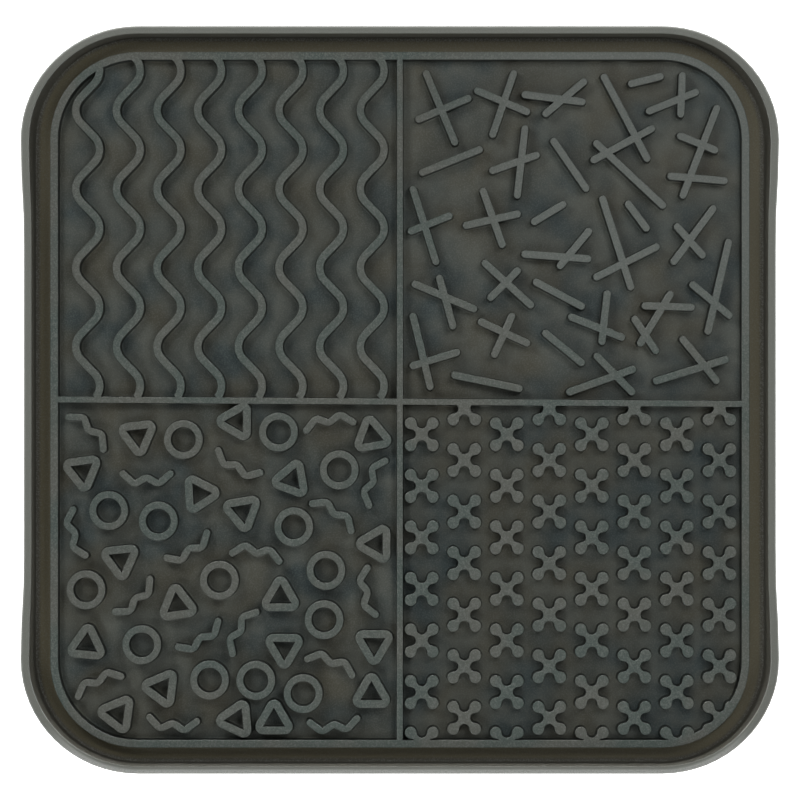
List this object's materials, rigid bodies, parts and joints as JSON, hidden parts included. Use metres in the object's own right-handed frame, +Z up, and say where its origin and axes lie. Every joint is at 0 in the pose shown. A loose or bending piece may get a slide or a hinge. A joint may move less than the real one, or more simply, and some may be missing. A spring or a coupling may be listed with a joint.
{
  "type": "lick mat",
  "caption": "Rounded-square silicone lick mat with a raised rim and quarters of raised waves, crossed bars, rings with triangles, and crosses.",
  "frame": {"origin": "centre of the flat underside, on the surface the mat lies on", "axes": "+X across the mat, +Y along it towards the wave and bar quarters, +Z up out of the tray"},
  "size_m": [0.1992, 0.1962, 0.01],
  "materials": {
    "silicone": "satin moulded silicone, dark warm grey"
  },
  "bodies": {
    "root": {"mat": "silicone"}
  },
  "joints": []
}
